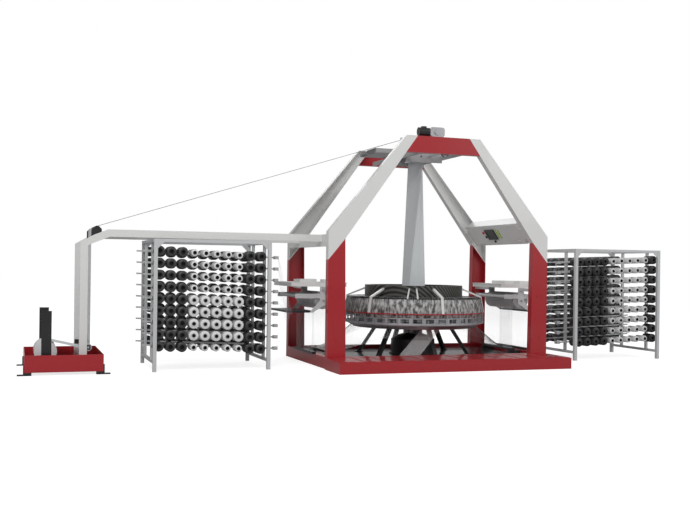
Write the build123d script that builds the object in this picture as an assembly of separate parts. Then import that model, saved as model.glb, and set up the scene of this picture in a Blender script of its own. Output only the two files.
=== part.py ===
from build123d import *
import math
import os

# Circular loom for woven sack fabric, in millimetres.
# The origin is on the floor under the loom's upright axis: +X to the right creel, +Y to the back, +Z up.

# Clearances
gap = 0.3              # between pieces that don't touch or that turn past each other
run_gap = 0.05         # radial clearance of a running shaft

# Main frame
post_out_x = 1780      # outer edge of a post
post_foot_w = 280      # width of a post at the floor
post_top_in_x = 1527   # inner edge where a post meets its rafter
post_shoulder_z = 1560 # outer low end of the sloped joint
post_top_z = 1865      # inner high end of the sloped joint
rafter_shoulder_z = 1966
frame_y = 1060         # outer face of the front and rear gantry
frame_d = 110          # depth of every gantry member
frame_h = 3400
top_out_x = 597        # outer corner of a rafter at the top
top_in_x = 422         # inner corner of a rafter at the top
top_beam_h = 245
plate_t = 8            # folded plate thickness
tie_h = 170
tie_w = 80
tie_top_z = 1925
post_bolts = ((1690, 1050), (1610, 1050), (1650, 420))  # bolt heads on each post, X and Z
bolt_r = 12
bolt_h = 8

# Base and operator platform
base_h = 170
base_w = 110
bearer_h = 100
bearer_w = 90
bearer_x = 720
floor_t = 10
platform_d = 655
platform_h = 166
platform_x = 1810
tread_t = 6
tread_rib = 4

# Take-up on top of the frame
fabric_t = 2.0
fabric_w = 565         # width of the flattened woven tube
draw_r = 75
nip_r = 50
top_roll_r = 40
nip_z = 3190
top_roll_z = 3497
rail_x = 330
rail_w = 50
rail_h = 60
cheek_y = 345
cheek_t = 10
cheek_left_x = 800
journal_r = 15
gearbox_l = 230
gearbox_w = 120
gearbox_h = 140
gearbox_x = -220
motor_l = 170
motor_r = 62
sprocket_w = 10
sprocket_y = -930
chain_t = 12
guard_x = -600
guard_l = 300
guard_h = 80
guard_d = 360

# Control cabinet between the right rafters
cab_w = 1720           # along Y
cab_low_x = 1555       # lower edge of its sloped front
cab_low_z = 1860
cab_face_h = 380       # length of the sloped front
cab_depth = 175
cab_wall = 6
door_t = 6
door_margin = 40
hinge_r = 8

# Loom head, radii about the upright axis
housing_r = 345
housing_top_z = 400
neck_r = 150
neck_top_z = 600
column_r = 30
sleeve_r = 60
rotor_z = 740
rotor_t = 24
rotor_arm_w = 70
rotor_arm_r = 600
shuttles_n = 6
track_in_r = 430
track_out_r = 726
track_t = 15
lower_track_z = 830
upper_track_z = 1010
reed_bars = 84
reed_t = 4
reed_d = 16
shuttle_l = 400
shuttle_r = 590
shuttle_w = 150
weft_r = 42
weft_l = 200
cover_r = 770
cover_t = 8
cover_low_z = 985
cover_top_z = 1190
lip_w = 90
table_z = 540
table_t = 12
table_in_r = 152
dish_low_r = 950
dish_r = 1085
dish_z = 612
windows_n = 36
band_r = 1074
band_t = 8
band_h = 92
window_w = 128
window_h = 62
rods_n = 18
rod_t = 10
rod_span = 165
red_r = 1114
red_h = 14
red_z = 769
hoop_r = 1063
hoop_t = 14
hoop_z = 997
arms_n = 6
arm_w = 42
arm_t = 6
ring_r = 180
ring_h = 22
ring_z = 1058
spoke_w = 20
legs_n = 6
leg_w = 62
leg_top_r = 560
leg_foot_r = 830
heald_n = 12
heald_a_r = 856
heald_b_r = 888
heald_t = 6
heald_h = 250
heald_z = 690
guide_t = 14

# Let-off unit at each side
unit_in_x = 1300
unit_out_x = 2150
unit_y = 480
tray_z = 1165
tray_h = 60
tray_t = 4
teeth_n = 18
tooth_h = 22
side_t = 8
cross_w = 50
cross_top_z = 1162
drum_r = 130
drum_x = 1660
drum_z = 960
bar_r = 26
comb_z = 810
comb_t = 30
comb_out_x = 2200
curtain_t = 1.5
curtain_n = 8
comp_w = 60
comp_h = 35

# Creels
creel_in_x = 2555
creel_l = 1640
creel_d = 1310
creel_h = 1805
left_creel_y = -215
right_creel_y = 0
leg_s = 50
rail_s = 40
low_rail_z = 150
levels = 9
level_z0 = 280
level_pitch = 163
level_rise = 0.04      # the rows climb away from the loom
columns = 10
column_pitch = 158
column_inset = 130
bobbin_r = 70
bobbin_l = 220
bobbin_face = 55       # from the creel's front plane to the bobbin faces
left_white_first = 2    # columns are counted from the loom side
right_white_first = 4
white_count = 5
full_first = 1         # rows of full white bobbins on the left creel, from the bottom
full_count = 4
slim_r = 50
bar_s = 22
bar_out = 110
block_w = 60
block_h = 46

# Winder
wind_x0 = -5838
wind_x1 = -4845
wind_y0 = -950
wind_y1 = 450
wind_low_z = 40
wind_top_z = 263
foot_l = 90
foot_t = 14
foot_w = 80
foot_hole_r = 8
arm_front_y = -740
arm_rear_y = 390
arm_d = 45
col_x = -5150
col_w = 102
col_top_z = 1745
elbow_x = -4790
elbow_z = 1922
arm_h = 100
guide_x = -5630
guide_w = 128
guide_h = 830
guide_front_y = -800
guide_rear_y = 300
roll_r = 150
roll_x = -5560
roll_z = 252
core_r = 38
drive_r = 45
drive_span = 120
spread_r = 50
spread_z = 335
elbow_r = 45
elbow_roll_x = -4930
elbow_roll_z = 1925
bracket_t = 10

web_reach = gap + fabric_t / 2     # from a roller's face to the middle of the web
spread_x = elbow_roll_x - elbow_r - spread_r - 2 * web_reach

parts = {}
shared = {}          # nodes that both sides add to


def block(x0, x1, y0, y1, z0, z1):
    return Pos((x0 + x1) / 2, (y0 + y1) / 2, (z0 + z1) / 2) * Box(abs(x1 - x0), abs(y1 - y0), abs(z1 - z0))


def plate_xz(points, y0, y1):
    outline = make_face(Polyline(*[(x, y0, z) for x, z in points], close=True))
    return extrude(outline, amount=y1 - y0, dir=(0, 1, 0))


def turned(points):
    outline = make_face(Polyline(*[(r, 0, z) for r, z in points], close=True))
    return revolve(outline, Axis.Z, 360)


def ring(r_in, r_out, z0, z1):
    return turned([(r_in, z0), (r_out, z0), (r_out, z1), (r_in, z1)])


def disc(r, z0, z1):
    return Pos(0, 0, z0) * Cylinder(r, z1 - z0, align=(Align.CENTER, Align.CENTER, Align.MIN))


def across(r, x, z, y0, y1):
    return Pos(x, y0, z) * Rot(-90, 0, 0) * Cylinder(r, y1 - y0, align=(Align.CENTER, Align.CENTER, Align.MIN))


def around(shape, count, first=0.0):
    return [Rot(0, 0, first + k * 360 / count) * shape for k in range(count)]


def mirrored(shapes):
    return [mirror(s, about=Plane.YZ) for s in shapes]


def folded(points, y_out, y_in):
    # A member folded from plate: its web is on y_out, its flanges run to y_in, and both ends are closed.
    step = math.copysign(plate_t, y_in - y_out)
    outline = make_face(Polyline(*[(x, y_out, z) for x, z in points], close=True))
    body = extrude(outline, amount=abs(y_in - y_out), dir=(0, math.copysign(1, y_in - y_out), 0))
    inner = offset(outline, -plate_t)
    hollow = extrude(Pos(0, step, 0) * inner, amount=abs(y_in - y_out), dir=(0, math.copysign(1, y_in - y_out), 0))
    return body - hollow


def rafter_x(z):
    # Inner edge of a rafter at height z.
    share = (z - post_top_z) / (frame_h - post_top_z)
    return post_top_in_x + (top_in_x - post_top_in_x) * share


def gantry(y_out, y_in):
    foot_in = post_out_x - post_foot_w
    post = [(post_out_x, 0), (post_out_x, post_shoulder_z), (post_top_in_x, post_top_z), (foot_in, 0)]
    rafter = [(post_out_x, post_shoulder_z), (post_out_x, rafter_shoulder_z), (top_out_x, frame_h),
              (top_in_x, frame_h), (post_top_in_x, post_top_z)]
    low_z = frame_h - top_beam_h
    low_x = rafter_x(low_z)
    beam = [(-low_x, low_z), (low_x, low_z), (top_in_x, frame_h), (-top_in_x, frame_h)]
    right_post = folded(post, y_out, y_in)
    way = math.copysign(1, y_out)
    for x, z in post_bolts:
        right_post += Pos(x, y_out, z) * Rot(-90 * way, 0, 0) * extrude(RegularPolygon(bolt_r, 6), amount=bolt_h)
    right_rafter = folded(rafter, y_out, y_in)
    return ([right_post] + mirrored([right_post]), [right_rafter] + mirrored([right_rafter]),
            folded(beam, y_out, y_in))


def main_frame():
    front_posts, front_rafters, front_beam = gantry(-frame_y, -frame_y + frame_d)
    rear_posts, rear_rafters, rear_beam = gantry(frame_y, frame_y - frame_d)
    parts["posts"] = front_posts + rear_posts
    parts["rafters"] = front_rafters + rear_rafters
    parts["top_beams"] = [front_beam, rear_beam]
    inner_y = frame_y - frame_d
    tie = block(-post_out_x, -post_out_x + tie_w, -inner_y, inner_y, tie_top_z - tie_h, tie_top_z)
    hollow = block(-post_out_x + plate_t, -post_out_x + tie_w, -inner_y + plate_t, inner_y - plate_t,
                   tie_top_z - tie_h + plate_t, tie_top_z - plate_t)
    parts["left_tie_beam"] = tie - hollow


def base():
    inner_y = frame_y - base_w
    foot_in = post_out_x - post_foot_w
    beams = []
    for side in (-1, 1):
        beams.append(block(-foot_in, foot_in, side * frame_y, side * inner_y, 0, base_h))
        beams.append(block(side * post_out_x, side * (post_out_x - base_w), -inner_y, inner_y, 0, base_h))
    for x in (-bearer_x, 0, bearer_x):
        beams.append(block(x - bearer_w / 2, x + bearer_w / 2, -inner_y, inner_y, 0, bearer_h))
    parts["base_frame"] = beams
    edge = post_out_x - base_w
    parts["floor_plate"] = block(-edge, edge, -inner_y, inner_y, bearer_h, bearer_h + floor_t)
    y_front = -frame_y - platform_d
    y_back = -frame_y
    shell = block(-platform_x, platform_x, y_front, y_back, 0, platform_h - tread_t)
    shell -= block(-platform_x + plate_t, platform_x - plate_t, y_front + plate_t, y_back, 0,
                   platform_h - tread_t - plate_t)
    bays = 6
    for k in range(1, bays):
        x = platform_x * (2 * k / bays - 1)
        shell += block(x - plate_t, x + plate_t, y_front + plate_t, y_back, 0, platform_h - tread_t - plate_t)
    parts["platform_box"] = shell
    tread = block(-platform_x + plate_t, platform_x - plate_t, y_front + 2 * plate_t, y_back,
                  platform_h - tread_t, platform_h)
    ribs = 12
    for k in range(ribs):
        x = -platform_x + 2 * platform_x * (k + 0.5) / ribs
        tread += block(x - platform_x / ribs / 2, x + platform_x / ribs / 2, y_front + 4 * plate_t,
                       y_back - 2 * plate_t, platform_h, platform_h + tread_rib)
    parts["platform_tread"] = tread


def take_up():
    inner_y = frame_y - frame_d
    low_z = frame_h - top_beam_h
    rail_z = low_z + rail_h
    rails = [block(x - rail_w / 2, x + rail_w / 2, -inner_y, inner_y, low_z, rail_z) for x in (-rail_x, rail_x)]
    web_gap = fabric_t / 2 + gap
    draw_x = draw_r + web_gap
    nip_x = -nip_r - web_gap
    top_x = -top_roll_r - web_gap
    head = top_roll_r + 2 * journal_r
    low_x = rail_x - rail_w / 2
    low_edge = nip_z - draw_r - 2 * plate_t
    outline = [(-cheek_left_x, rail_z), (-low_x, rail_z), (-low_x, low_edge), (low_x, low_edge), (low_x, rail_z),
               (rail_x + rail_w / 2, rail_z), (rail_x + rail_w / 2, rail_z + rail_h),
               (draw_x + draw_r, nip_z + draw_r + rail_h), (top_x + head, top_roll_z), (top_x + head, top_roll_z + head),
               (top_x - head, top_roll_z + head), (top_x - head, top_roll_z), (nip_x - 3 * nip_r, nip_z + 2 * nip_r),
               (-cheek_left_x, rail_z + rail_h)]
    cheeks = []
    for side in (-1, 1):
        cheek = plate_xz(outline, side * cheek_y - cheek_t / 2, side * cheek_y + cheek_t / 2)
        for x, z in ((draw_x, nip_z), (nip_x, nip_z), (top_x, top_roll_z)):
            cheek -= across(journal_r + run_gap, x, z, side * cheek_y - cheek_t, side * cheek_y + cheek_t)
        cheeks.append(cheek)
    guard = block(guard_x - guard_l / 2, guard_x + guard_l / 2, -guard_d / 2, guard_d / 2,
                  rail_z + plate_t, rail_z + plate_t + guard_h)
    shelf_y = cheek_y - cheek_t / 2
    shelf = block(guard_x - guard_l / 2, guard_x + guard_l / 2, -shelf_y, shelf_y, rail_z, rail_z + plate_t)
    parts["take_up_frame"] = rails + cheeks + [shelf, guard]
    face_y = cheek_y - cheek_t / 2 - 5
    end_y = cheek_y + cheek_t
    for name, r, x, z in (("draw_roller", draw_r, draw_x, nip_z), ("nip_roller", nip_r, nip_x, nip_z),
                          ("top_guide_roller", top_roll_r, top_x, top_roll_z)):
        body = across(r, x, z, -face_y, face_y)
        first = sprocket_y - sprocket_w if name == "draw_roller" else -end_y
        body += across(journal_r, x, z, first, end_y)
        if name == "draw_roller":
            body += across(draw_r - chain_t, x, z, sprocket_y - sprocket_w / 2, sprocket_y + sprocket_w / 2)
        parts[name] = body
    box_x1 = gearbox_x + gearbox_l
    out_x = gearbox_x + gearbox_l / 2
    out_z = frame_h + gearbox_h / 2
    gearbox = block(gearbox_x, box_x1, -frame_y, -frame_y + gearbox_w, frame_h, frame_h + gearbox_h)
    gearbox = chamfer(gearbox.edges().filter_by(Axis.Y), gearbox_h / 6)
    gearbox += across(gearbox_h / 3, out_x, out_z, -frame_y - 2 * plate_t, -frame_y + plate_t)
    gearbox += across(journal_r, out_x, out_z, -frame_y + plate_t, sprocket_y + sprocket_w)
    wheel_r = draw_r - chain_t
    gearbox += across(wheel_r, out_x, out_z, sprocket_y - sprocket_w / 2, sprocket_y + sprocket_w / 2)
    parts["gearbox"] = gearbox
    motor_y = -frame_y + gearbox_w / 2
    motor = Pos(gearbox_x, motor_y, out_z) * Rot(0, -90, 0) * Cylinder(
        motor_r, motor_l, align=(Align.CENTER, Align.CENTER, Align.MIN))
    motor += block(gearbox_x - motor_l * 0.7, gearbox_x - motor_l * 0.3, motor_y - motor_r / 2,
                   motor_y + motor_r / 2, out_z + motor_r / 2, out_z + motor_r + 2 * plate_t)
    parts["take_up_motor"] = motor
    # The chain is a flat band wrapped round both wheels.
    run = math.hypot(draw_x - out_x, out_z - nip_z)
    lean = math.degrees(math.atan2(out_z - nip_z, out_x - draw_x))
    inner = SlotCenterToCenter(run, 2 * (wheel_r + gap))
    outer = SlotCenterToCenter(run, 2 * (wheel_r + gap) + chain_t)
    band = extrude(outer - inner, amount=sprocket_w)
    parts["take_up_chain"] = Pos((draw_x + out_x) / 2, sprocket_y + sprocket_w / 2, (out_z + nip_z) / 2) * Rot(
        90, 0, 0) * Rot(0, 0, lean) * band


def cabinet():
    # A flat box between the right rafters, its front leaning with them and facing the loom.
    slope = math.degrees(math.atan2(frame_h - post_top_z, post_top_in_x - top_in_x))
    here = Pos(cab_low_x, 0, cab_low_z) * Rot(0, slope - 90, 0)
    # In the box's own frame: +Z up along the front, -X out of the front, +X into the cabinet.
    half = cab_w / 2
    shell = block(0, cab_depth, -half, half, 0, cab_face_h)
    opening_y = half - door_margin
    shell -= block(0, cab_depth - cab_wall, -half + cab_wall, half - cab_wall, cab_wall, cab_face_h - cab_wall)
    rim = block(0, cab_wall, -half, half, 0, cab_face_h)
    rim -= block(0, cab_wall, -opening_y, opening_y, door_margin, cab_face_h - door_margin)
    shell += rim
    # End brackets reach the inner flanges of the right rafters.
    tilt = math.radians(slope)
    flange_x = (post_top_in_x - cab_low_x) * math.sin(tilt) + (post_top_z - cab_low_z) * math.cos(tilt)
    for side in (-1, 1):
        shell += block(flange_x, cab_depth / 3, side * half, side * (frame_y - frame_d), cab_face_h / 4,
                       cab_face_h * 3 / 4)
    door_low = door_margin / 2
    door_high = cab_face_h - door_margin / 2
    door_y = half - door_margin / 2
    door = block(-gap - door_t, -gap, -door_y, door_y, door_low, door_high)
    hinge_x = -gap - hinge_r
    hinge_z = door_high + hinge_r
    for side in (-1, 1):
        y = side * door_y * 0.7
        knuckle = across(hinge_r - 1, hinge_x, hinge_z, y - 30, y + 30)
        leaf = block(hinge_x, hinge_x + door_t, y - 30, y + 30, door_high - 2, hinge_z)
        door += (knuckle + leaf) - across(hinge_r / 2 + run_gap, hinge_x, hinge_z, y - 40, y + 40)
        for end in (-1, 1):
            ear_y = y + end * 37
            shell += across(hinge_r - 1, hinge_x, hinge_z, ear_y - 5, ear_y + 5)
            shell += block(hinge_x, cab_wall, ear_y - 5, ear_y + 5, hinge_z - 5, hinge_z + 5)
        shell += across(hinge_r / 2, hinge_x, hinge_z, y - 40, y + 40)
    bezel_y, bezel_z, bezel_w, bezel_h = 90, cab_face_h * 0.56, 300, 190
    face_x = -gap - door_t
    bezel = block(face_x - 18, face_x, bezel_y - bezel_w / 2, bezel_y + bezel_w / 2, bezel_z - bezel_h / 2,
                  bezel_z + bezel_h / 2)
    bezel -= block(face_x - 18, face_x - 12, bezel_y - bezel_w * 0.36, bezel_y + bezel_w * 0.36,
                   bezel_z - bezel_h * 0.32, bezel_z + bezel_h * 0.32)
    parts["cabinet_shell"] = here * shell
    parts["display_unit"] = here * bezel
    button_r = 24
    button_in = 14
    travel = 4
    stop_y, stop_z = bezel_y + bezel_w / 2 + 70, bezel_z + 42
    start_y, start_z = stop_y - 16, bezel_z - 42

    def button(y, z, r, out, lift):
        under_x = face_x - gap - lift
        cap = Pos(under_x, y, z) * Rot(0, -90, 0) * Cylinder(r, out, align=(Align.CENTER, Align.CENTER, Align.MIN))
        stem = Pos(under_x, y, z) * Rot(0, 90, 0) * Cylinder(
            r / 2, button_in + lift, align=(Align.CENTER, Align.CENTER, Align.MIN))
        return cap + stem

    def hole(y, z, r):
        return Pos(face_x - 1, y, z) * Rot(0, 90, 0) * Cylinder(
            r / 2 + run_gap, button_in, align=(Align.CENTER, Align.CENTER, Align.MIN))

    knob_y, knob_z, knob_r = bezel_y - 10, bezel_z - bezel_h / 2 - 40, 20
    for y, z, r in ((stop_y, stop_z, button_r), (start_y, start_z, button_r), (knob_y, knob_z, knob_r)):
        door -= hole(y, z, r)
    parts["stop_button"] = here * button(stop_y, stop_z, button_r, 16, travel)
    parts["start_button"] = here * button(start_y, start_z, button_r, 10, travel)
    knob = button(knob_y, knob_z, knob_r, 14, 0)
    knob += block(face_x - gap - 22, face_x - gap - 14, knob_y - 4, knob_y + 4, knob_z - knob_r + 2, knob_z + knob_r - 2)
    parts["mode_knob"] = here * knob
    keys = []
    for column in range(2):
        for row in range(4):
            y = bezel_y - bezel_w / 2 - 60 - column * 70
            z = bezel_z + 72 - row * 44 - column * 10
            keys.append(block(face_x - 6, face_x, y - 22, y + 22, z - 14, z + 14))
    parts["green_keys"] = [here * k for k in keys]
    for y in (-door_y + 150, door_y - 260):
        door += block(face_x - 12, face_x, y - 38, y + 38, door_low + 24, door_low + 52)
    parts["cabinet_door"] = here * door


def loom_head():
    top = bearer_h + floor_t
    shoulder = housing_r * 0.72
    parts["drive_housing"] = turned([(0, top), (housing_r + 30, top), (housing_r + 30, top + 20), (housing_r, top + 20),
                                     (housing_r, housing_top_z - 60), (shoulder, housing_top_z),
                                     (neck_r, housing_top_z + 30), (neck_r, neck_top_z), (0, neck_top_z)])
    dish_top = dish_z + table_t
    parts["base_ring"] = turned([(table_in_r, table_z), (dish_low_r, table_z), (dish_low_r + 15, table_z + 16),
                                 (dish_r - 25, dish_z - 12), (dish_r - 25, dish_z), (dish_r + 25, dish_z),
                                 (dish_r + 25, dish_top), (dish_r - 40, dish_top), (dish_low_r, table_z + table_t + 4),
                                 (dish_low_r - 10, table_z + table_t), (table_in_r, table_z + table_t)])
    leg_line = [(leg_top_r, table_z), (leg_top_r + leg_w, table_z), (leg_foot_r + leg_w, top + 12),
                (leg_foot_r + leg_w + 40, top + 12), (leg_foot_r + leg_w + 40, top), (leg_foot_r - 30, top),
                (leg_foot_r - 30, top + 12), (leg_foot_r, top + 12)]
    parts["support_legs"] = around(plate_xz(leg_line, -leg_w / 2, leg_w / 2), legs_n, 30)

    column = disc(column_r, neck_top_z, ring_z)
    column += disc(column_r * 1.6, ring_z - 2 * ring_h, ring_z)
    for spoke in around(block(0, ring_r - 8, -spoke_w / 2, spoke_w / 2, ring_z - ring_h, ring_z), 4, 45):
        column += spoke
    column += ring(ring_r - 16, ring_r, ring_z - ring_h, ring_z)
    parts["centre_column"] = column

    sleeve = ring(column_r + run_gap, sleeve_r, neck_top_z + gap, rotor_z + 2 * rotor_t)
    sleeve += ring(column_r + run_gap, sleeve_r + 40, rotor_z - 10, rotor_z)
    rotor = sleeve + ring(sleeve_r - 1, sleeve_r + 90, rotor_z, rotor_z + rotor_t)
    pad_top = lower_track_z - gap
    for k in range(shuttles_n):
        arm = block(sleeve_r + 60, rotor_arm_r, -rotor_arm_w / 2, rotor_arm_w / 2, rotor_z, rotor_z + rotor_t)
        pad = block(rotor_arm_r - 70, rotor_arm_r, -rotor_arm_w / 2, rotor_arm_w / 2, rotor_z, pad_top)
        rotor += Rot(0, 0, k * 360 / shuttles_n) * (arm + pad)
    parts["shuttle_rotor"] = rotor

    lower = ring(track_in_r, track_out_r, lower_track_z, lower_track_z + track_t)
    pillar = block(track_out_r - 60, track_out_r - 20, -20, 20, table_z + table_t, lower_track_z)
    for post in around(pillar, 6, 30):
        lower += post
    upper_low = upper_track_z
    upper = ring(track_in_r, cover_r - cover_t - gap, upper_low, upper_low + track_t)
    parts["upper_track"] = upper
    bar = block(track_in_r + 4, track_in_r + 4 + reed_d, -reed_t / 2, reed_t / 2, lower_track_z + track_t, upper_low)
    parts["reed"] = around(bar, reed_bars)

    # A shuttle is a curved boat with a long window that holds its weft bobbin.
    low = lower_track_z + track_t + gap
    high = upper_low - gap
    half_angle = math.degrees(shuttle_l / 2 / shuttle_r)
    shuttles, wefts = [], []
    for k in range(shuttles_n):
        turn = Rot(0, 0, k * 360 / shuttles_n)
        inner, outer = shuttle_r - shuttle_w / 2, shuttle_r + shuttle_w / 2
        side = [(inner * math.cos(math.radians(a)), inner * math.sin(math.radians(a)))
                for a in (-half_angle * 0.7, 0, half_angle * 0.7)]
        back = [(outer * math.cos(math.radians(a)), outer * math.sin(math.radians(a)))
                for a in (half_angle * 0.7, 0, -half_angle * 0.7)]
        nose = [(shuttle_r * math.cos(math.radians(a)), shuttle_r * math.sin(math.radians(a)))
                for a in (half_angle * 1.25, -half_angle * 1.25)]
        outline = make_face(Polyline(*(side + nose[:1] + back + nose[1:]), close=True))
        boat = Pos(0, 0, low) * extrude(outline, amount=high - low)
        boat -= block(shuttle_r - weft_r - 6, shuttle_r + weft_r + 6, -weft_l / 2 - 8, weft_l / 2 + 8, low + 18, high)
        shuttles.append(turn * boat)
        spool = across(weft_r, shuttle_r, low + 18 + gap + weft_r, -weft_l / 2, weft_l / 2)
        wefts.append(turn * spool)
    parts["shuttles"] = shuttles
    parts["weft_bobbins"] = wefts

    cover = turned([(cover_r - cover_t, cover_low_z), (cover_r, cover_low_z), (cover_r, cover_top_z),
                    (cover_r - lip_w, cover_top_z), (cover_r - lip_w, cover_top_z - cover_t),
                    (cover_r - cover_t, cover_top_z - cover_t)])
    parts["cover_ring"] = cover
    # The upper track rests on angle pads inside the cover ring's wall.
    band = ring(band_r - band_t, band_r, dish_top, dish_top + band_h)
    for cut in around(block(band_r - 3 * band_t, band_r + band_t, -window_w / 2, window_w / 2,
                            dish_top + (band_h - window_h) / 2, dish_top + (band_h + window_h) / 2), windows_n):
        band -= cut
    parts["window_band"] = band
    rod_r = math.sqrt((red_r - band_t - gap) ** 2 - (rod_span / 2) ** 2) - rod_t
    rods = []
    for turn_at in range(rods_n):
        h0, h1 = dish_top, red_z + red_h
        rod = block(rod_r, rod_r + rod_t, -rod_span / 2, rod_span / 2, h1 - rod_t, h1)
        for end in (-1, 1):
            y = end * (rod_span - rod_t) / 2
            rod += block(rod_r, rod_r + rod_t, y - rod_t / 2, y + rod_t / 2, h0, h1)
        rods.append(Rot(0, 0, (turn_at + 0.5) * 360 / rods_n) * rod)
    parts["rod_frames"] = rods
    parts["red_band"] = ring(red_r - band_t, red_r, red_z, red_z + red_h)
    parts["guide_hoop"] = ring(hoop_r - hoop_t, hoop_r, hoop_z, hoop_z + hoop_t)
    # An arm runs from the cover ring down to the hoop, then as a strap to the red band.
    start_z = cover_top_z - 40
    line = [(cover_r + gap, start_z), (cover_r + gap, start_z - 30), (hoop_r - hoop_t, hoop_z + hoop_t + gap),
            (hoop_r + gap, hoop_z + hoop_t + gap), (hoop_r + gap, hoop_z), (red_r - band_t, red_z + red_h + gap),
            (red_r, red_z + red_h + gap), (hoop_r + gap + 2 * arm_t, hoop_z),
            (hoop_r + gap + 2 * arm_t, hoop_z + hoop_t + 2 * arm_t)]
    arm = plate_xz(line, -arm_w / 2, arm_w / 2)
    arms = around(arm, arms_n, -90)
    for a in (-118, -110):
        arms.append(Rot(0, 0, a) * plate_xz(line[:5] + line[7:], -arm_w / 4, arm_w / 4))
    parts["hoop_brackets"] = arms
    guides = [lower]
    guide_low = table_z + table_t
    guide_out_r = (heald_b_r + heald_t) / math.cos(math.pi / heald_n) + guide_t
    for k in range(heald_n):
        post = block(heald_a_r - guide_t, guide_out_r, -guide_t / 2, guide_t / 2, guide_low,
                     cover_low_z - 30)
        guides.append(Rot(0, 0, (k + 0.5) * 360 / heald_n) * post)
    parts["lower_track"] = guides
    frames = {"heald_set_a": heald_a_r, "heald_set_b": heald_b_r}
    for name, r in frames.items():
        reach = r * math.tan(math.pi / heald_n) - guide_t / 2 / math.cos(math.pi / heald_n) - gap
        width = 2 * reach
        leaf = block(r, r + heald_t, -width / 2, width / 2, heald_z, heald_z + heald_h)
        leaf -= block(r, r + heald_t, -width / 2 + 25, width / 2 - 25, heald_z + 25, heald_z + heald_h - 25)
        parts[name] = around(leaf, heald_n)


def let_off(side):
    # One side of the warp feed, written for the right-hand side and mirrored for the left.
    outer_y = unit_y + side_t
    sides = []
    low_bar_x = unit_in_x + 110
    out_bar_x = unit_out_x - 110
    comb_in_x = drum_x + drum_r + 30
    bar_z = drum_z + drum_r / 2
    arm_low, arm_high = bar_z - bar_r - side_t, bar_z + bar_r + side_t
    half = 2 * bar_r
    outline = [(drum_x - half, tray_z), (drum_x - half, arm_high), (low_bar_x - half, arm_high),
               (low_bar_x - half, arm_low), (drum_x - half, arm_low), (drum_x - half, drum_z - half),
               (comb_in_x, comb_z - comb_t), (comb_in_x + half, comb_z - comb_t), (drum_x + half, drum_z),
               (drum_x + half, arm_low), (out_bar_x + half, arm_low), (out_bar_x + half, arm_high),
               (drum_x + half, arm_high), (drum_x + half, tray_z)]
    for end in (-1, 1):
        y = end * (unit_y + side_t / 2)
        cheek = plate_xz(outline, y - side_t / 2, y + side_t / 2)
        cheek -= across(journal_r + run_gap, drum_x, drum_z, y - side_t, y + side_t)
        sides.append(cheek)
    web_y = frame_y - plate_t
    beams = [block(drum_x - cross_w / 2, drum_x + cross_w / 2, end * outer_y, end * web_y,
                   cross_top_z - cross_w, cross_top_z) for end in (-1, 1)]
    bars = [across(bar_r, x, z, -unit_y, unit_y)
            for x, z in ((low_bar_x, bar_z), (out_bar_x, bar_z))]
    frame = sides + beams + bars
    tray = block(unit_in_x, unit_out_x, -outer_y, outer_y, tray_z, tray_z + tray_h)
    tray -= block(unit_in_x + tray_t, unit_out_x - tray_t, -outer_y + tray_t, outer_y - tray_t,
                  tray_z + tray_t, tray_z + tray_h)
    pitch = 2 * outer_y / teeth_n
    teeth = []
    for k in range(teeth_n):
        y = -outer_y + (k + 0.5) * pitch
        teeth.append(block(unit_in_x - tooth_h, unit_in_x, y - pitch / 4, y + pitch / 4, tray_z + tray_h - tray_t,
                           tray_z + tray_h))
    for tooth in teeth:
        tray += tooth
    comb = block(comb_in_x, comb_out_x, -unit_y, unit_y, comb_z - comb_t, comb_z)
    body = across(drum_r, drum_x, drum_z, -unit_y + 5, unit_y - 5)
    body += across(journal_r, drum_x, drum_z, -outer_y - 20, outer_y + 70)
    body += across(journal_r * 4, drum_x, drum_z, outer_y + 20, outer_y + 50)
    # The compensator: two rails along the floor, the outer one on the base's side beam.
    rail_at = (drum_x - drum_r, drum_x + drum_r)
    rails = [block(x - comp_w / 2, x + comp_w / 2, -unit_y, unit_y, base_h, base_h + comp_h) for x in rail_at]
    for y in (-unit_y, unit_y - comp_w):
        rails.append(block(rail_at[0] - comp_w, post_out_x - base_w, y, y + comp_w, bearer_h + floor_t, base_h))
    strip = (2 * unit_y - 60) / curtain_n
    tapes = []
    for x in rail_at:
        for k in range(curtain_n):
            y = -unit_y + 30 + k * strip
            outward = math.copysign(gap + curtain_t, x - drum_x)
            tapes.append(block(x + outward - curtain_t / 2, x + outward + curtain_t / 2, y + strip * 0.12,
                               y + strip * 0.88, base_h + comp_h, drum_z))
    groups = (frame, [tray], [comb], [body], rails, tapes)
    return [mirrored(g) if side < 0 else g for g in groups]


def creel_fan(side, y_mid):
    # Tapes run from each level's guide block down or up to one line on the comb table.
    strips = []
    start_x = creel_in_x - bar_out - block_w - gap
    end_x = comb_out_x + gap
    for level in range(levels):
        z = level_height(level, creel_in_x)
        y0 = y_mid - creel_d / 2 + bobbin_face + bobbin_l
        end_z = comb_z - comb_t * (levels - level) / levels
        outline = [(start_x, z), (start_x, z + curtain_t), (end_x, end_z + curtain_t), (end_x, end_z)]
        strips.append(plate_xz(outline, y0, y0 + block_h / 2))
    return mirrored(strips) if side < 0 else strips


def level_height(level, x):
    return level_z0 + level * level_pitch + (x - creel_in_x) * level_rise


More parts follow.
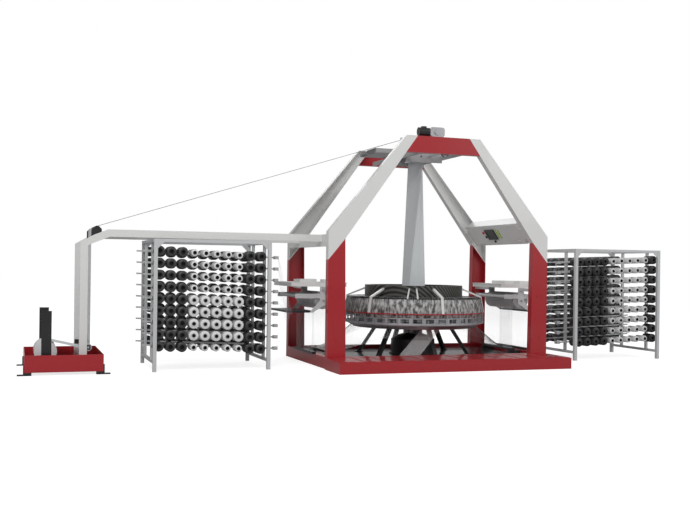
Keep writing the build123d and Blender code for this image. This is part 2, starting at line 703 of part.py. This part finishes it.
def creel(side, y_mid):
    # Written for the right-hand creel: legs, rails, level bars, spindles and bobbins.
    x0, x1 = creel_in_x, creel_in_x + creel_l
    y0, y1 = y_mid - creel_d / 2, y_mid + creel_d / 2
    frame = []
    for x in (x0, x1 - leg_s):
        for y in (y0, y1 - leg_s):
            frame.append(block(x, x + leg_s, y, y + leg_s, 0, creel_h))
        for z in (low_rail_z, creel_h):
            frame.append(block(x + (leg_s - rail_s) / 2, x + (leg_s + rail_s) / 2, y0 + leg_s, y1 - leg_s, z - rail_s, z))
    for y in (y0, y1 - leg_s):
        y_in = y + (leg_s - rail_s) / 2
        frame.append(block(x0 + leg_s, x1 - leg_s, y_in, y_in + rail_s, creel_h - rail_s, creel_h))
        for x, way in ((x0 + leg_s, 1), (x1 - leg_s, -1)):
            drop = 2.2 * rail_s
            outline = [(x, creel_h - rail_s), (x + way * drop, creel_h - rail_s), (x, creel_h - rail_s - drop)]
            frame.append(plate_xz(outline, y_in, y_in + plate_t))
    front_y = y0 + bobbin_face
    rear_y = y1 - bobbin_face
    bars, black, white, blocks = [], [], [], []
    white_first = left_white_first if side < 0 else right_white_first
    for level in range(levels):
        for y, way in ((front_y + bobbin_l, 1), (rear_y - bobbin_l, -1)):
            y_bar = y + way * (gap + bar_s / 2)
            z_in, z_out = level_height(level, x0 - bar_out), level_height(level, x1 + bar_out)
            half = bar_s / 2
            outline = [(x0 - bar_out, z_in - half), (x1 + bar_out, z_out - half), (x1 + bar_out, z_out + half),
                       (x0 - bar_out, z_in + half)]
            bars.append(plate_xz(outline, y_bar - half, y_bar + half))
        z_in = level_height(level, x0 - bar_out)
        blocks.append(block(x0 - bar_out - block_w, x0 - bar_out, front_y + bobbin_l - block_h / 2,
                            front_y + bobbin_l + block_h * 1.2, z_in - block_h / 2, z_in + block_h / 2))
        for column in range(columns):
            x = x0 + column_inset + column * column_pitch
            z = level_height(level, x)
            for y in (front_y, rear_y - bobbin_l):
                is_white = y == front_y and white_first <= column < white_first + white_count
                full = side < 0 and full_first <= level < full_first + full_count
                slim = is_white and not full
                r = slim_r if slim else bobbin_r
                prism = Pos(x, y, z) * Rot(-90, 0, 0) * extrude(RegularPolygon(r, 6), amount=bobbin_l)
                (white if is_white else black).append(prism)
    # Uprights on the inner faces of the side rails carry the level bars.
    for x in (x0 + leg_s / 2, x1 - leg_s / 2):
        for y, way in ((front_y + bobbin_l, 1), (rear_y - bobbin_l, -1)):
            y_post = y + way * (gap + bar_s)
            frame.append(block(x - rail_s / 2, x + rail_s / 2, min(y_post, y_post + way * rail_s),
                               max(y_post, y_post + way * rail_s), low_rail_z, creel_h - rail_s))
    groups = (frame, bars, black, white, blocks)
    return [mirrored(g) if side < 0 else g for g in groups]


def winder():
    y0, y1 = wind_y0, wind_y1
    tray = block(wind_x0, wind_x1, y0, y1, wind_low_z, wind_top_z)
    tray -= block(wind_x0 + plate_t, wind_x1 - plate_t, y0 + plate_t, y1 - plate_t, wind_low_z + plate_t, wind_top_z)
    parts["winder_base"] = tray
    feet = []
    for x, way in ((wind_x0, -1), (wind_x1, 1)):
        for y in (y0, y1 - foot_w):
            xs = sorted((x, x + way * foot_l))
            foot = block(xs[0], xs[1], y, y + foot_w, 0, foot_t)
            xu = sorted((x, x + way * foot_t))
            foot += block(xu[0], xu[1], y, y + foot_w, 0, wind_low_z + 90)
            xi = sorted((x, x - way * foot_l))
            foot += block(xi[0], xi[1], y, y + foot_w, 0, wind_low_z)
            hole_x = x + way * (foot_l + foot_t) / 2
            foot -= Pos(hole_x, y + foot_w / 2, 0) * Cylinder(
                foot_hole_r, foot_t, align=(Align.CENTER, Align.CENTER, Align.MIN))
            feet.append(foot)
    parts["winder_feet"] = feet
    low = wind_low_z + plate_t
    line = [(col_x, low), (col_x, col_top_z), (elbow_x - 190, elbow_z - 80), (elbow_x, elbow_z),
            (-post_out_x, elbow_z), (-post_out_x, elbow_z - arm_h), (elbow_x + 20, elbow_z - arm_h),
            (col_x + col_w, col_top_z - 40), (col_x + col_w, low)]
    arms = [plate_xz(line, y, y + arm_d) for y in (arm_front_y, arm_rear_y)]
    for y in (arm_front_y, arm_rear_y):
        arms.append(block(col_x - 40, col_x, y, y + arm_d, low, low + plate_t))
        arms.append(block(col_x + col_w, col_x + col_w + 60, y, y + arm_d, low, low + plate_t))
    parts["winder_arms"] = arms
    guides = []
    for y in (guide_front_y, guide_rear_y):
        guide = block(guide_x, guide_x + guide_w, y, y + plate_t, low, guide_h)
        guides.append(guide)
    drive_z = roll_z - math.sqrt((roll_r + drive_r + gap) ** 2 - drive_span ** 2)
    yf, yr = guide_front_y + plate_t + gap, guide_rear_y - gap
    rollers = {"front_drive_roller": roll_x + drive_span, "back_drive_roller": roll_x - drive_span}
    wall_y0, wall_y1 = y0 + plate_t + gap, y1 - plate_t - gap
    for name, x in rollers.items():
        body = across(drive_r, x, drive_z, yf, yr)
        body += across(journal_r, x, drive_z, wall_y0, wall_y1)
        parts[name] = body
    roll = across(roll_r, roll_x, roll_z, -fabric_w / 2, fabric_w / 2)
    roll += across(core_r, roll_x, roll_z, yf, yr)
    parts["fabric_roll"] = roll
    inner0, inner1 = arm_front_y + arm_d, arm_rear_y
    for name, r, x, z in (("spreader_roller", spread_r, spread_x, spread_z),
                          ("elbow_roller", elbow_r, elbow_roll_x, elbow_roll_z)):
        body = across(r, x, z, inner0 + bracket_t + 5, inner1 - bracket_t - 5)
        body += across(journal_r, x, z, inner0 + gap, inner1 - gap)
        parts[name] = body
    ear = 2 * journal_r
    for y in (inner0, inner1 - bracket_t):
        low_ear = block(col_x + plate_t, spread_x + ear, y, y + bracket_t, spread_z - ear, spread_z + ear)
        low_ear -= across(journal_r + run_gap, spread_x, spread_z, y - 5, y + bracket_t + 5)
        under_z = elbow_z - arm_h - ear
        high_ear = plate_xz([(elbow_roll_x - 2 * ear, under_z), (elbow_roll_x + 2 * ear, under_z + ear),
                             (elbow_roll_x + 2 * ear, elbow_roll_z), (elbow_roll_x + ear, elbow_roll_z + ear),
                             (elbow_roll_x - ear, elbow_roll_z + ear), (elbow_roll_x - 2 * ear, elbow_roll_z)],
                            y, y + bracket_t)
        high_ear -= across(journal_r + run_gap, elbow_roll_x, elbow_roll_z, y - 5, y + bracket_t + 5)
        guides += [low_ear, high_ear]
    parts["winder_plates"] = guides


def bend(x, z, r, first, last, steps=8):
    # Points on a bend round a roller, with the angles in radians.
    turn = (last - first) / steps
    wide = r / math.cos(turn / 2)
    return [(x + wide * math.cos(first + turn * k), z + wide * math.sin(first + turn * k)) for k in range(steps + 1)]


def fabric():
    # The woven tube rises square and turns flat at the nip, then runs as a web to the winder.
    half = fabric_w / 2
    flat_z = nip_z - draw_r - 4 * plate_t
    tube = loft([Pos(0, 0, ring_z) * Rectangle(half, half), Pos(0, 0, flat_z) * Rectangle(fabric_t, fabric_w)],
                ruled=True)
    top_x = -top_roll_r - web_reach
    # The straight run from the top roller to the elbow roller, given by its upper left normal.
    dx, dz = elbow_roll_x - top_x, elbow_roll_z - top_roll_z
    away = math.atan2(dz, dx) - math.acos((top_roll_r - elbow_r) / math.hypot(dx, dz)) + 2 * math.pi
    # The run that crosses from under the spreader to the top of the roll.
    dx, dz = roll_x - spread_x, roll_z - spread_z
    under = math.atan2(dz, dx) + math.acos((spread_r + roll_r + 2 * web_reach) / math.hypot(dx, dz))
    route = [(0, flat_z)]
    route += bend(top_x, top_roll_z, top_roll_r + web_reach, 0, away)
    route += bend(elbow_roll_x, elbow_roll_z, elbow_r + web_reach, away, math.pi)
    route += bend(spread_x, spread_z, spread_r + web_reach, 0, under)
    far = roll_r + web_reach
    route.append((roll_x - far * math.cos(under), roll_z - far * math.sin(under)))
    return [tube, sheet_along(route)]


def sheet_along(route):
    # A thin sheet of the web's width along a route in the XZ plane.
    left, right = [], []
    for k, (x, z) in enumerate(route):
        before = route[max(k - 1, 0)]
        after = route[min(k + 1, len(route) - 1)]
        dx, dz = after[0] - before[0], after[1] - before[1]
        size = math.hypot(dx, dz)
        nx, nz = -dz / size * fabric_t / 2, dx / size * fabric_t / 2
        left.append((x + nx, z + nz))
        right.append((x - nx, z - nz))
    return plate_xz(left + right[::-1], -fabric_w / 2, fabric_w / 2)


def export(name, shape):
    solids = shape if isinstance(shape, list) else [shape]
    flat = [s for item in solids for s in item.solids()]
    export_step(Compound(children=flat) if len(flat) > 1 else flat[0], f"parts/{name}.step")


def both_sides():
    for side, word, y_mid in ((-1, "left", left_creel_y), (1, "right", right_creel_y)):
        frame, tray, comb, drum, rails, tapes = let_off(side)
        parts[f"{word}_let_off_drum"] = drum
        creel_frame, bars, black, white, blocks = creel(side, y_mid)
        groups = {"let_off_frames": frame, "yarn_trays": tray, "tape_guides": comb + rails,
                  "warp_tapes": tapes + creel_fan(side, y_mid), "creel_frames": creel_frame,
                  "level_bars": bars + blocks, "black_bobbins": black, "white_bobbins": white}
        for name, shapes in groups.items():
            shared.setdefault(name, []).extend(shapes)
    parts.update(shared)


main_frame()
base()
take_up()
cabinet()
loom_head()
both_sides()
winder()
parts["fabric"] = fabric()

os.makedirs("parts", exist_ok=True)
for name, shape in parts.items():
    export(name, shape)
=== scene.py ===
import math
import bpy
import numpy as np
from mathutils import Euler, Matrix, Vector


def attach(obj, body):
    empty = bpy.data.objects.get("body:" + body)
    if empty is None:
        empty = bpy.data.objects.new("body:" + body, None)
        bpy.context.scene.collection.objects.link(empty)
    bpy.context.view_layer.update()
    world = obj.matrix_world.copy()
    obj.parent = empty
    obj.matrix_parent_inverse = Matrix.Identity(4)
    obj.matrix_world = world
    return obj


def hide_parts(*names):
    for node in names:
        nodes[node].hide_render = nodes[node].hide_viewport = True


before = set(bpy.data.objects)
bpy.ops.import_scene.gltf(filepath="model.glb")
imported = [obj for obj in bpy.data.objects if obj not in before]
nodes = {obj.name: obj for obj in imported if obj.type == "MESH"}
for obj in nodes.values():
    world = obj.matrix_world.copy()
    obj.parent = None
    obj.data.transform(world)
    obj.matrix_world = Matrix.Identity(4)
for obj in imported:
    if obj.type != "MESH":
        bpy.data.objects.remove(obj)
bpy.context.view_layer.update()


def material(name, colour, rough=0.5, metal=0.0, coat=0.0, through=0.0):
    mat = bpy.data.materials.new(name)
    mat.use_nodes = True
    shader = mat.node_tree.nodes["Principled BSDF"]
    shader.inputs["Base Color"].default_value = (*colour, 1)
    shader.inputs["Roughness"].default_value = rough
    shader.inputs["Metallic"].default_value = metal
    shader.inputs["Coat Weight"].default_value = coat
    shader.inputs["Transmission Weight"].default_value = through
    return mat


def noiseAt(tree, scale, detail, stretch):
    # One noise in object space: noise(scale * stretch * p).
    coords = tree.nodes.new("ShaderNodeTexCoord")
    mapping = tree.nodes.new("ShaderNodeMapping")
    mapping.inputs["Scale"].default_value = stretch
    noise = tree.nodes.new("ShaderNodeTexNoise")
    noise.inputs["Scale"].default_value = scale
    noise.inputs["Detail"].default_value = detail
    tree.links.new(coords.outputs["Object"], mapping.inputs["Vector"])
    tree.links.new(mapping.outputs["Vector"], noise.inputs["Vector"])
    return noise.outputs["Fac"]


def grained(mat, scale, depth, stretch=(1, 1, 1)):
    # Bump from one noise: height = noise(scale * stretch * p), with the strength given by depth.
    tree = mat.node_tree
    bump = tree.nodes.new("ShaderNodeBump")
    bump.inputs["Strength"].default_value = depth
    bump.inputs["Distance"].default_value = 0.002
    tree.links.new(noiseAt(tree, scale, 3, stretch), bump.inputs["Height"])
    tree.links.new(bump.outputs["Normal"], tree.nodes["Principled BSDF"].inputs["Normal"])
    return mat


def ramped(mat, other, source, low, high):
    # The material's own colour turns into the other one while the source goes from low to high.
    tree = mat.node_tree
    shader = tree.nodes["Principled BSDF"]
    ramp = tree.nodes.new("ShaderNodeValToRGB")
    ramp.color_ramp.elements[0].position = low
    ramp.color_ramp.elements[1].position = high
    ramp.color_ramp.elements[0].color = shader.inputs["Base Color"].default_value[:]
    ramp.color_ramp.elements[1].color = (*other, 1)
    tree.links.new(source, ramp.inputs["Fac"])
    tree.links.new(ramp.outputs["Color"], shader.inputs["Base Color"])
    return mat


def banded(mat, other, scale, axis):
    # Two colours in bands along one axis: ramp(wave(scale * p[axis])).
    tree = mat.node_tree
    coords = tree.nodes.new("ShaderNodeTexCoord")
    wave = tree.nodes.new("ShaderNodeTexWave")
    wave.bands_direction = axis
    wave.inputs["Scale"].default_value = scale
    wave.inputs["Distortion"].default_value = 0.6
    wave.inputs["Detail"].default_value = 2
    tree.links.new(coords.outputs["Object"], wave.inputs["Vector"])
    return ramped(mat, other, wave.outputs["Fac"], 0.42, 0.58)


def speckled(mat, other, scale, stretch):
    # Two colours by noise: ramp(noise(scale * stretch * p)).
    return ramped(mat, other, noiseAt(mat.node_tree, scale, 4, stretch), 0.40, 0.64)


red = grained(material("red_paint", (0.42, 0.012, 0.02), 0.32, coat=0.4), 60, 0.15)
white = grained(material("white_paint", (0.78, 0.78, 0.77), 0.35, coat=0.3), 60, 0.12)
grey = grained(material("grey_paint", (0.42, 0.42, 0.43), 0.45), 60, 0.15)
paleGrey = grained(material("pale_grey", (0.6, 0.61, 0.62), 0.4), 40, 0.12)
black = material("black_paint", (0.016, 0.016, 0.018), 0.38, coat=0.2)
blackMatte = material("black_matte", (0.02, 0.02, 0.022), 0.7)
steel = grained(material("bright_steel", (0.62, 0.62, 0.64), 0.24, 1.0), 30, 0.08, (1, 20, 1))
alloy = grained(material("cast_alloy", (0.5, 0.5, 0.52), 0.42, 0.8), 90, 0.25)
stopRed = material("stop_red", (0.7, 0.015, 0.02), 0.3, coat=0.5)
keyGreen = material("key_green", (0.42, 0.62, 0.05), 0.4)
floorDark = grained(material("floor_dark", (0.03, 0.032, 0.036), 0.25, coat=0.3), 12, 0.3)
drumTape = banded(material("drum_tape", (0.30, 0.30, 0.30), 0.4), (0.62, 0.62, 0.63), 18, "Y")
ringBlack = banded(material("ring_black", (0.012, 0.012, 0.012), 0.35), (0.10, 0.10, 0.085), 9, "DIAGONAL")
yarnBlack = banded(material("yarn_black", (0.01, 0.01, 0.011), 0.42), (0.045, 0.045, 0.05), 30, "Y")
yarnWhite = banded(material("yarn_white", (0.6, 0.6, 0.61), 0.45), (0.82, 0.82, 0.83), 30, "Y")
# Near-black inside the bobbin bores: painted shade in the holes.
boreShade = material("bore_painted_shade", (0.03, 0.03, 0.032), 0.6)
tapeWhite = material("tape_white", (0.82, 0.83, 0.84), 0.35)
weave = banded(material("woven_cloth", (0.62, 0.66, 0.68), 0.42), (0.82, 0.85, 0.86), 60, "Z")
print("materials made")

finishes = {
    red: ["posts", "red_band", "base_frame", "top_beams", "platform_box", "platform_tread", "winder_base"],
    white: ["rafters", "left_tie_beam", "hoop_brackets", "winder_arms", "yarn_trays", "cabinet_shell",
            "cabinet_door"],
    paleGrey: ["creel_frames", "level_bars", "let_off_frames", "upper_track"],
    grey: ["take_up_frame"],
    floorDark: ["floor_plate"],
    drumTape: ["left_let_off_drum", "right_let_off_drum"],
    ringBlack: ["cover_ring"],
    black: ["drive_housing", "support_legs", "winder_feet", "winder_plates", "display_unit",
            "start_button", "mode_knob", "take_up_motor", "guide_hoop", "tape_guides"],
    blackMatte: ["heald_set_a", "heald_set_b", "shuttles", "take_up_chain",
                 "elbow_roller"],
    alloy: ["rod_frames", "gearbox", "base_ring", "window_band", "shuttle_rotor", "lower_track"],
    stopRed: ["stop_button"],
    keyGreen: ["green_keys"],
    tapeWhite: ["weft_bobbins", "fabric_roll"],
    steel: ["reed", "centre_column", "draw_roller", "nip_roller", "top_guide_roller",
            "spreader_roller", "front_drive_roller", "back_drive_roller"],
}
for mat, names in finishes.items():
    for name in names:
        for slot in nodes[name].material_slots:
            slot.material = mat
print("CAD nodes coloured")


def meshPiece(name, points, faces, mats, body="frame", kinds=None, smooth=False):
    mesh = bpy.data.meshes.new(name)
    mesh.from_pydata(np.asarray(points, float).tolist(), [], [tuple(int(i) for i in f) for f in faces])
    for mat in mats:
        mesh.materials.append(mat)
    if kinds is not None:
        mesh.polygons.foreach_set("material_index", np.asarray(kinds, np.int32))
    if smooth:
        mesh.polygons.foreach_set("use_smooth", np.ones(len(mesh.polygons), bool))
    mesh.update()
    piece = bpy.data.objects.new(name, mesh)
    bpy.context.scene.collection.objects.link(piece)
    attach(piece, body)
    return piece


creel = {"inX": 2.555, "inset": 0.130, "pitch": 0.158, "z0": 0.280, "rise": 0.163, "lean": 0.04,
         "depth": 1.310, "face": 0.055, "long": 0.220, "leftY": -0.215, "rightY": 0.0, "levels": 9,
         "columns": 10, "full": 0.070, "slim": 0.050, "bore": 0.026, "sides": 28}


def bobbinAt(x, y, z, r, long, deep):
    # A turned package along Y: p = (x + r(t) cos a, y + h(t), z + r(t) sin a).
    # The profile runs from the bore round the face and the body.
    profile = [(creel["bore"], deep), (creel["bore"], 0.0), (r - 0.012, 0.002), (r - 0.003, 0.008),
               (r, 0.018), (r, long - 0.018), (r - 0.012, long - 0.002), (creel["bore"], long)]
    a = np.arange(creel["sides"]) * 2 * math.pi / creel["sides"]
    rr = np.array([p[0] for p in profile])[:, None]
    hh = np.array([p[1] for p in profile])[:, None]
    pts = np.stack([x + rr * np.cos(a), y + hh + 0 * a, z + rr * np.sin(a)], axis=-1)
    return pts.reshape(-1, 3)


def bobbins(name, whiteOnes, mats, node):
    n, rings = creel["sides"], 8
    points, faces, kinds = [], [], []
    for side, midY, whites in ((-1, creel["leftY"], range(2, 7)), (1, creel["rightY"], range(4, 9))):
        for level in range(creel["levels"]):
            for column in range(creel["columns"]):
                isWhite = column in whites
                full = side < 0 and 1 <= level < 5
                x = creel["inX"] + creel["inset"] + column * creel["pitch"]
                z = creel["z0"] + level * creel["rise"] + (x - creel["inX"]) * creel["lean"]
                front = midY - creel["depth"] / 2 + creel["face"]
                rear = midY + creel["depth"] / 2 - creel["face"]
                for y, way in ((front, 1), (rear, -1)):
                    if (isWhite and way > 0) != whiteOnes:
                        continue
                    r = creel["full"] if full or not whiteOnes else creel["slim"]
                    base = len(points) * rings * n
                    points.append(bobbinAt(side * x, 0, z, r, creel["long"], 0.05) * (1, way, 1) + (0, y, 0))
                    for k in range(rings - 1):
                        for i in range(n):
                            j = (i + 1) % n
                            q = (base + k * n + i, base + k * n + j,
                                 base + (k + 1) * n + j, base + (k + 1) * n + i)
                            faces.append(q if way > 0 else q[::-1])
                            # Kind 1 (the bore wall and the cap at its far end) takes the painted shade of
                            # the hole.
                            kinds.append(1 if k == 0 else 0)
                    faces.append(tuple(base + i for i in range(n)))
                    kinds.append(1)
    piece = meshPiece(name, np.concatenate(points), faces, mats, kinds=kinds, smooth=True)
    piece.data.set_sharp_from_angle(angle=math.radians(35))
    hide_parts(node)


bobbins("round_black_bobbins", False, [yarnBlack, boreShade], "black_bobbins")
bobbins("round_white_bobbins", True, [yarnWhite, boreShade], "white_bobbins")
print("bobbins wound")

tape = {"wide": 0.0026, "fan": 7, "curtain": 64, "band": 300, "cone": 220, "front": 46}
warp = {"guideOut": 0.110, "guideDeep": 0.060, "combX": 2.2, "combZ": 0.8, "drumX": 1.66, "drumR": 0.1305,
        "halfY": 0.45, "curtainLow": 0.205, "curtainHigh": 0.960, "coneTurn": 78, "coneX": 1.48,
        "coneZ": 0.19, "dishR": 0.98, "dishZ": 0.574}
bandRoute = ((1.098, 0.786), (1.056, 1.012), (0.773, 1.02))
front = {"first": -104, "turn": 22, "r": 0.78, "z": 0.538, "lowX": -0.66, "lowWide": 0.34, "lowY": -0.93,
         "lowZ": 0.12}


def strips(lines, wide, across):
    # Flat tapes: each line is a list of points, widened by +-wide/2 along its own across direction.
    points, faces = [], []
    for line, way in zip(lines, across):
        way = np.array(way) / np.linalg.norm(way) * wide / 2
        base = len(points)
        for p in line:
            points += [np.array(p) - way, np.array(p) + way]
        for k in range(len(line) - 1):
            b = base + 2 * k
            faces.append((b, b + 1, b + 3, b + 2))
    return np.array(points), faces


def warpTapes():
    lines, ways = [], []
    rng = np.random.default_rng(4)
    halfY = warp["halfY"]
    for side, midY in ((-1, creel["leftY"]), (1, creel["rightY"])):
        startX = creel["inX"] - warp["guideOut"] - warp["guideDeep"]
        y = midY - creel["depth"] / 2 + creel["face"] + creel["long"]
        for level in range(creel["levels"]):
            z = creel["z0"] + level * creel["rise"]
            for k in range(tape["fan"]):
                spread = k / (tape["fan"] - 1) - 0.5
                lines.append([(side * startX, y + 0.012 + spread * 0.03, z),
                              (side * warp["combX"], y + 0.05 + spread * 0.34,
                               warp["combZ"] + level * 0.001)])
                ways.append((0, 1, 0))
        for x in (warp["drumX"] - warp["drumR"], warp["drumX"] + warp["drumR"]):
            for k in range(tape["curtain"]):
                across = -halfY + 2 * halfY * (k + 0.5 + 0.3 * rng.uniform(-1, 1)) / tape["curtain"]
                lines.append([(side * x, across, warp["curtainLow"]),
                              (side * x, across, warp["curtainHigh"])])
                ways.append((0, 1, 0))
        for k in range(tape["cone"]):
            share = (k + 0.5) / tape["cone"]
            a = math.radians(-warp["coneTurn"] + 2 * warp["coneTurn"] * share)
            lines.append([(side * warp["coneX"], -halfY + 2 * halfY * share, warp["coneZ"]),
                          (side * warp["dishR"] * math.cos(a), warp["dishR"] * math.sin(a), warp["dishZ"])])
            ways.append((0, 1, 0.001))
    for k in range(tape["band"]):
        a = 2 * math.pi * (k + 0.35 * rng.uniform(-1, 1)) / tape["band"]
        c, s = math.cos(a), math.sin(a)
        lines.append([(r * c, r * s, z) for r, z in bandRoute])
        ways.append((-s, c, 0))
    for k in range(tape["front"]):
        share = k / (tape["front"] - 1)
        a = math.radians(front["first"] + front["turn"] * share)
        lines.append([(front["r"] * math.cos(a), front["r"] * math.sin(a), front["z"]),
                      (front["lowX"] + front["lowWide"] * share, front["lowY"], front["lowZ"])])
        ways.append((1, 0, 0))
    points, faces = strips(lines, tape["wide"], ways)
    piece = meshPiece("fine_warp_tapes", points, faces, [tapeWhite])
    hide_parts("warp_tapes")


warpTapes()


def warpVeil():
    # The dense tape sheet between hoop and red band: a ring surface p = (r(t) cos a, r(t) sin a, z(t)); its
    # dark base is painted shade seen between the tapes.
    profile = [(1.047, 0.992), (1.062, 0.96), (1.085, 0.88), (1.097, 0.80), (1.090, 0.765), (1.068, 0.722)]
    n = 240
    a = np.arange(n) * 2 * math.pi / n
    wobble = 1 + 0.004 * np.sin(a * 37) * np.sin(a * 11)
    points = np.concatenate([np.column_stack([r * wobble * np.cos(a), r * wobble * np.sin(a), np.full(n, z)])
                             for r, z in profile])
    faces = [(k * n + i, (k + 1) * n + i, (k + 1) * n + (i + 1) % n, k * n + (i + 1) % n)
             for k in range(len(profile) - 1) for i in range(n)]
    meshPiece("warp_veil", points, faces, [shadeVeil], smooth=True)


# Dark base with pale streaks: painted shade between the tapes, and the pale speckle is the tapes' own white.
shadeVeil = speckled(material("tape_painted_shade", (0.07, 0.065, 0.06), 0.5), (0.55, 0.55, 0.55), 26, (1, 1, 0.35))
warpVeil()

trayLoad = {"boxes": ((1.52, -0.25, 0.17, 0.10), (1.86, -0.10, 0.20, 0.16), (1.70, 0.22, 0.24, 0.12)),
            "base": 1.1695, "high": 0.10}
boxFaces = ((0, 2, 3, 1), (4, 5, 7, 6), (0, 1, 5, 4), (2, 6, 7, 3), (0, 4, 6, 2), (1, 3, 7, 5))


def trayBoxes():
    # White boxes of spare tape stand in each tray: eight corners a box.
    points, faces = [], []
    for side in (-1, 1):
        for x, y, halfX, halfY in trayLoad["boxes"]:
            b = len(points)
            points += [(side * x + i * halfX / 2, y + j * halfY, trayLoad["base"] + k * trayLoad["high"])
                       for k in (0, 1) for j in (-1, 1) for i in (-1, 1)]
            faces += [tuple(b + q for q in f) for f in boxFaces]
    meshPiece("tray_boxes", points, faces, [white])


trayBoxes()
print("tapes strung")

cloth = {"wide": 0.565, "ringZ": 1.058, "flatZ": 3.083, "rows": 60, "round": 96, "thick": 0.002}


def clothTube():
    # Cross-section turns from a square of side w/2 to a flat double layer: p = (1-t) square(a) + t flat(a).
    half = cloth["wide"] / 4
    count = cloth["round"]
    q = count // 4
    line = np.linspace(-1, 1, q, endpoint=False)
    square = np.concatenate([np.stack([line, -np.ones(q)], 1), np.stack([np.ones(q), line], 1),
                             np.stack([-line, np.ones(q)], 1), np.stack([-np.ones(q), -line], 1)]) * half
    v = np.abs((np.arange(count) / count * 4 + 0.5) % 4 - 2)
    flat = np.stack([np.where(square[:, 0] > 0, 1, -1) * cloth["thick"] / 2, square[:, 1] * 2], 1)
    points = []
    for row in range(cloth["rows"] + 1):
        t = row / cloth["rows"]
        z = cloth["ringZ"] + (cloth["flatZ"] - cloth["ringZ"]) * t
        section = square * (1 - t) + flat * t
        soft = 1 - 0.035 * math.sin(math.pi * t) * np.sin(np.arange(count) * 2 * math.pi / count * 4) ** 2
        points.append(np.column_stack([section * soft[:, None], np.full(count, z)]))
    faces = []
    for row in range(cloth["rows"]):
        for i in range(count):
            j = (i + 1) % count
            faces.append((row * count + i, row * count + j, (row + 1) * count + j, (row + 1) * count + i))
    return meshPiece("woven_tube", np.concatenate(points), faces, [weave], smooth=True)


def arc(x, z, r, first, last):
    return [(x + r * math.cos(a), z + r * math.sin(a)) for a in np.linspace(first, last, 10)]


def clothWeb():
    # The flat web follows the rollers: tangent lines between circles, as in the side view.
    reach = 0.0013
    topX, topZ, topR = -0.0413, 3.497, 0.040
    elbowX, elbowZ, elbowR = -4.930, 1.925, 0.045
    spreadX, spreadZ, spreadR = -5.0276, 0.335, 0.050
    rollX, rollZ, rollR = -5.560, 0.252, 0.150
    dx, dz = elbowX - topX, elbowZ - topZ
    away = math.atan2(dz, dx) - math.acos((topR - elbowR) / math.hypot(dx, dz)) + 2 * math.pi
    dx, dz = rollX - spreadX, rollZ - spreadZ
    under = math.atan2(dz, dx) + math.acos((spreadR + rollR + 2 * reach) / math.hypot(dx, dz))
    route = [(0, cloth["flatZ"])] + arc(topX, topZ, topR + reach, 0, away)
    route += arc(elbowX, elbowZ, elbowR + reach, away, math.pi)
    route += arc(spreadX, spreadZ, spreadR + reach, 0, under)
    route.append((rollX - (rollR + reach) * math.cos(under), rollZ - (rollR + reach) * math.sin(under)))
    across = np.linspace(-cloth["wide"] / 2, cloth["wide"] / 2, 13)
    points = [(x, y, z) for x, z in route for y in across]
    n = len(across)
    faces = [(r * n + i, r * n + i + 1, (r + 1) * n + i + 1, (r + 1) * n + i)
             for r in range(len(route) - 1) for i in range(n - 1)]
    length = sum(math.dist(a, b) for a, b in zip(route, route[1:]))
    return meshPiece("woven_web", points, faces, [weave], smooth=True), length


tube = clothTube()
web, webLong = clothWeb()
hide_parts("fabric")
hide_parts("fabric")
print("cloth hung")

view = {"at": (-5.9716, -13.6617, 1.4436), "yaw": 0.339, "roll": 0.0134,
        "lens": 36 * 937.25 / 690, "shift": 12.07 / 690}
camera = bpy.data.objects.new("camera", bpy.data.cameras.new("camera"))
bpy.context.scene.collection.objects.link(camera)
camera.matrix_world = (Matrix.Translation(view["at"])
                       @ Euler((math.pi / 2, 0, -view["yaw"])).to_matrix().to_4x4()
                       @ Matrix.Rotation(view["roll"], 4, "Z"))
camera.data.lens = view["lens"]
camera.data.sensor_width = 36
camera.data.shift_y = view["shift"]
camera.data.clip_end = 200
bpy.context.scene.camera = camera

floorMesh = bpy.data.meshes.new("floor")
floorMesh.from_pydata([(-60, -60, 0), (60, -60, 0), (60, 90, 0), (-60, 90, 0)], [], [(0, 1, 2, 3)])
floor = bpy.data.objects.new("floor", floorMesh)
floorPale = material("floor_pale", (0.5, 0.5, 0.5), 0.9)
floorShader = floorPale.node_tree.nodes["Principled BSDF"]
floorShader.inputs["Emission Color"].default_value = (1, 1, 1, 1)
floorGlow = floorPale.node_tree.nodes.new("ShaderNodeLightPath")
floorScale = floorPale.node_tree.nodes.new("ShaderNodeMath")
floorScale.operation = "MULTIPLY"
floorScale.inputs[1].default_value = 0.78
floorPale.node_tree.links.new(floorGlow.outputs["Is Camera Ray"], floorScale.inputs[0])
floorPale.node_tree.links.new(floorScale.outputs[0], floorShader.inputs["Emission Strength"])
floorMesh.materials.append(floorPale)
bpy.context.scene.collection.objects.link(floor)

world = bpy.data.worlds.new("studio")
world.use_nodes = True
tree = world.node_tree
background = tree.nodes["Background"]
path = tree.nodes.new("ShaderNodeLightPath")
mix = tree.nodes.new("ShaderNodeMix")
mix.data_type = "FLOAT"
mix.inputs["A"].default_value = 0.42
mix.inputs["B"].default_value = 1.0
tree.links.new(path.outputs["Is Camera Ray"], mix.inputs["Factor"])
tree.links.new(mix.outputs["Result"], background.inputs["Strength"])
background.inputs["Color"].default_value = (1, 1, 1, 1)
bpy.context.scene.world = world

lamps = (("key", (-7, -9, 9), 6, 620), ("fill", (8, -8, 6), 7, 260), ("back", (2, 9, 8), 7, 240))
for name, spot, size, power in lamps:
    lamp = bpy.data.lights.new(name, "AREA")
    lamp.size = size
    lamp.energy = power
    light = bpy.data.objects.new(name, lamp)
    light.location = spot
    aim = np.array((0, 0, 1.2)) - np.array(spot)
    light.rotation_euler = Vector(aim).to_track_quat("-Z", "Y").to_euler()
    bpy.context.scene.collection.objects.link(light)
bpy.context.scene.view_settings.view_transform = "Standard"
